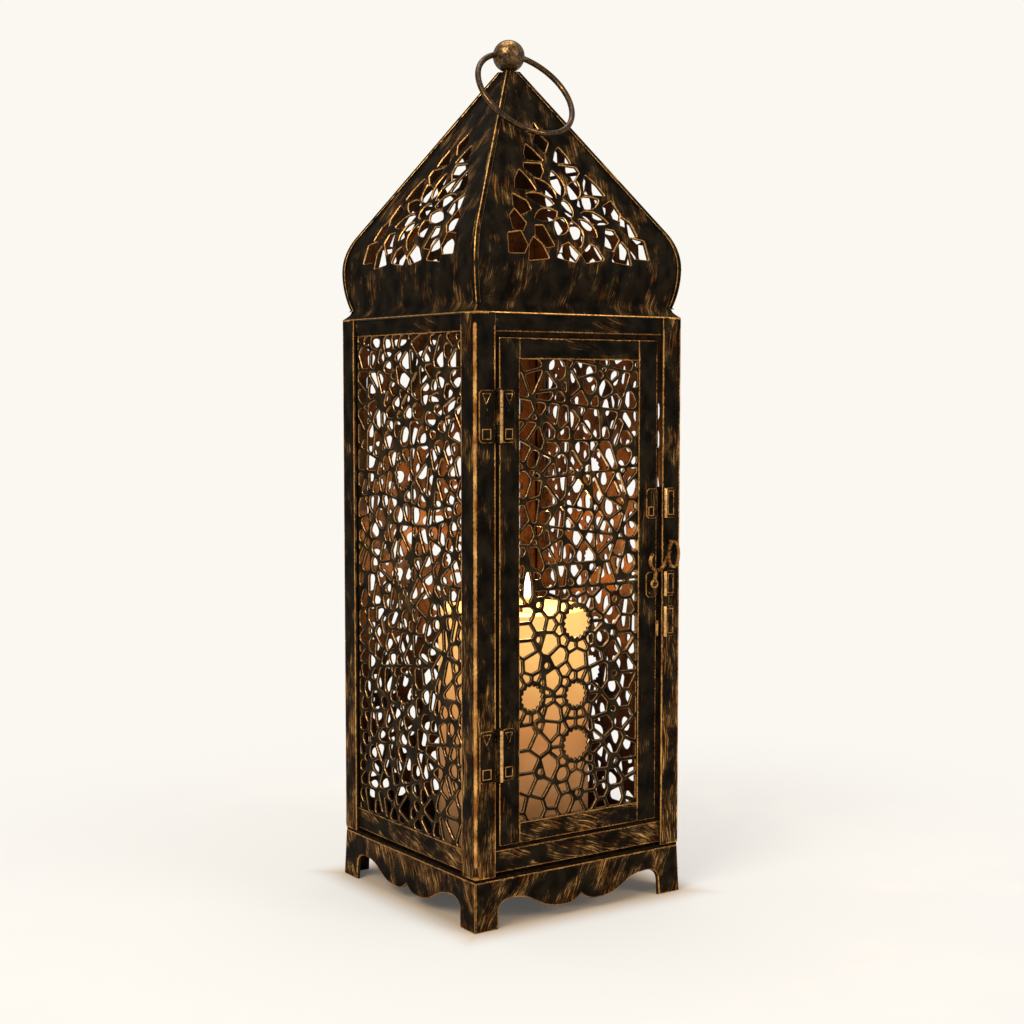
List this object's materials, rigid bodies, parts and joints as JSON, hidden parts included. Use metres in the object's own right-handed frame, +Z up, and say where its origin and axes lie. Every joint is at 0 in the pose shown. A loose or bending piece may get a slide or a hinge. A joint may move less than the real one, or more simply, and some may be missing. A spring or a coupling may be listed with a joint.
{
  "type": "moroccan lantern",
  "caption": "Square candle lantern in pierced dark bronze sheet, with a hinged lattice door and hook latch, a bracket-footed base and a curved four-sided roof with ball and ring.",
  "frame": {"origin": "centre of the footprint, on the floor under the feet", "axes": "+Z up through the finial, door on the -Y side, door hinges at -X and latch at +X"},
  "size_m": [0.115, 0.1185, 0.3954],
  "materials": {
    "dark_bronze": "near-black bronze paint, satin, brushed with copper gold on edges and high spots",
    "pierced_bronze": "pierced sheet in near-black bronze paint, satin, with copper-gold cut edges",
    "worn_bronze": "dark bronze rubbed through to brass on edges, satin",
    "aged_brass": "aged brass, satin, darkened in the hollows",
    "candle_wax": "ivory paraffin wax, soft sheen, lets light through",
    "burnt_wick": "charred cotton, matte"
  },
  "bodies": {
    "lantern": {"base_apron_front": "dark_bronze", "base_apron_right": "dark_bronze", "base_apron_back": "dark_bronze", "base_apron_left": "dark_bronze", "floor_plate": "dark_bronze", "corner_post_front_left": "dark_bronze", "bottom_rail_front": "dark_bronze", "top_rail_front": "dark_bronze", "corner_post_front_right": "dark_bronze", "bottom_rail_right": "dark_bronze", "top_rail_right": "dark_bronze", "corner_post_back_right": "dark_bronze", "bottom_rail_back": "dark_bronze", "top_rail_back": "dark_bronze", "corner_post_back_left": "dark_bronze", "bottom_rail_left": "dark_bronze", "top_rail_left": "dark_bronze", "lattice_right": "pierced_bronze", "lattice_back": "pierced_bronze", "lattice_left": "pierced_bronze", "roof_panel_front": "dark_bronze", "roof_seam_front_left": "worn_bronze", "roof_panel_right": "dark_bronze", "roof_seam_front_right": "worn_bronze", "roof_panel_back": "dark_bronze", "roof_seam_back_right": "worn_bronze", "roof_panel_left": "dark_bronze", "roof_seam_back_left": "worn_bronze", "finial_ball": "aged_brass", "finial_washer": "worn_bronze", "finial_nut": "worn_bronze", "hinge_leaf_frame_lower": "worn_bronze", "hinge_pin_lower": "aged_brass", "hinge_leaf_frame_upper": "worn_bronze", "hinge_pin_upper": "aged_brass", "stop_plate_post": "worn_bronze", "keeper_plate": "worn_bronze", "strike_plate": "worn_bronze", "keeper_loop": "aged_brass", "candle": "candle_wax", "wick": "burnt_wick"},
    "door": {"door_stile_hinge": "dark_bronze", "door_stile_latch": "dark_bronze", "door_rail_top": "dark_bronze", "door_rail_bottom": "dark_bronze", "door_lattice": "pierced_bronze", "hinge_leaf_door_lower": "worn_bronze", "hinge_leaf_door_upper": "worn_bronze", "latch_plate": "worn_bronze", "latch_rivet": "aged_brass", "stop_plate_door": "worn_bronze"},
    "ring": {"handle_ring": "aged_brass"},
    "hook": {"latch_hook": "aged_brass"}
  },
  "joints": [
    {"name": "door_hinge", "type": "hinge", "parent": "lantern", "child": "door", "pos_m": [-0.0452, -0.0586, 0.1497], "axis": [0, 0, -1], "range_deg": [0, 165]},
    {"name": "ring_swing", "type": "hinge", "parent": "lantern", "child": "ring", "pos_m": [0, 0, 0.38804], "axis": [-1, 0, 0], "range_deg": [0, 288]},
    {"name": "hook_pivot", "type": "hinge", "parent": "door", "child": "hook", "pos_m": [0.04024, -0.0587, 0.1458], "axis": [0, -1, 0], "range_deg": [0, 130]}
  ]
}
